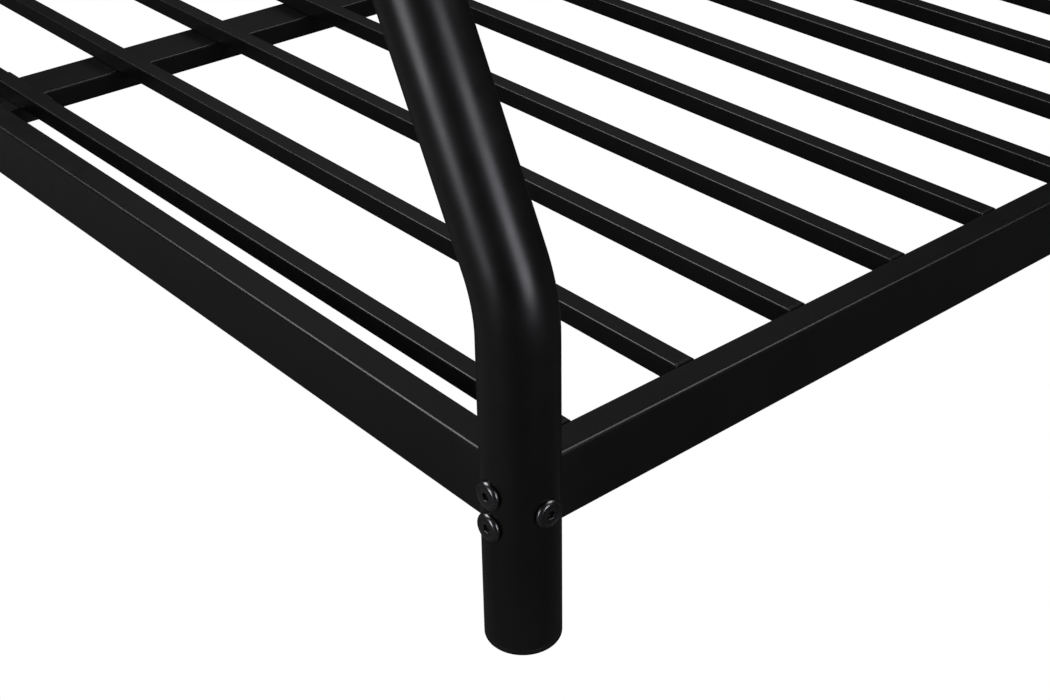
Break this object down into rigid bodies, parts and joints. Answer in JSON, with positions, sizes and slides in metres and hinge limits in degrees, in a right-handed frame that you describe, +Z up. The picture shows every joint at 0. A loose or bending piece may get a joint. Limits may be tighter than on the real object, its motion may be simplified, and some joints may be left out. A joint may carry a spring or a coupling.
{
  "type": "bunk bed frame",
  "caption": "Black steel-tube bunk bed frame: a wide low bed under a narrower bunk, thick round posts that bend inward, flat rails, thin square slats, guard bars and a ladder.",
  "frame": {"origin": "middle of the footprint, on the floor", "axes": "+X along the bed towards the ladder end, +Y from the ladder side to the rear, +Z up"},
  "size_m": [2.1064, 1.6164, 1.56],
  "materials": {
    "black_paint": "satin black powder coat",
    "black_plastic": "moulded, matt",
    "black_bolt": "black-nickel plated",
    "zinc_steel": "bright zinc"
  },
  "bodies": {
    "root": {"beam_cradles": "black_paint", "centre_beam": "black_paint", "centre_leg": "black_paint", "foot_plugs": "black_plastic", "front_guard_hoop": "black_paint", "guard_bar_inserts": "zinc_steel", "guard_uprights": "black_paint", "ladder_bolts": "black_bolt", "ladder_clips": "black_paint", "ladder_rungs": "black_paint", "ladder_stile_left": "black_paint", "ladder_stile_right": "black_paint", "ladder_top_plugs": "black_plastic", "left_guard_bars": "black_paint", "leg_foot": "black_plastic", "lower_end_rail_left": "black_paint", "lower_end_rail_right": "black_paint", "lower_post_front_left": "black_paint", "lower_post_front_right": "black_paint", "lower_post_rear_left": "black_paint", "lower_post_rear_right": "black_paint", "lower_side_rail_front": "black_paint", "lower_side_rail_rear": "black_paint", "lower_slat_01": "black_paint", "lower_slat_02": "black_paint", "lower_slat_03": "black_paint", "lower_slat_04": "black_paint", "lower_slat_05": "black_paint", "lower_slat_06": "black_paint", "lower_slat_07": "black_paint", "lower_slat_08": "black_paint", "lower_slat_09": "black_paint", "lower_slat_10": "black_paint", "lower_slat_11": "black_paint", "lower_slat_12": "black_paint", "lower_slat_13": "black_paint", "lower_slat_14": "black_paint", "lower_slat_15": "black_paint", "lower_slat_16": "black_paint", "lower_slat_17": "black_paint", "lower_slat_18": "black_paint", "lower_slat_19": "black_paint", "post_caps": "black_plastic", "post_couplings": "zinc_steel", "rail_bolts": "black_bolt", "rail_inserts": "zinc_steel", "rear_guard_mid_bar": "black_paint", "rear_guard_top_bar": "black_paint", "right_guard_bars": "black_paint", "short_bolts": "black_bolt", "slat_plugs": "black_plastic", "upper_end_rail_left": "black_paint", "upper_end_rail_right": "black_paint", "upper_post_front_left": "black_paint", "upper_post_front_right": "black_paint", "upper_post_rear_left": "black_paint", "upper_post_rear_right": "black_paint", "upper_side_rail_front": "black_paint", "upper_side_rail_rear": "black_paint", "upper_slats": "black_paint"}
  },
  "joints": []
}
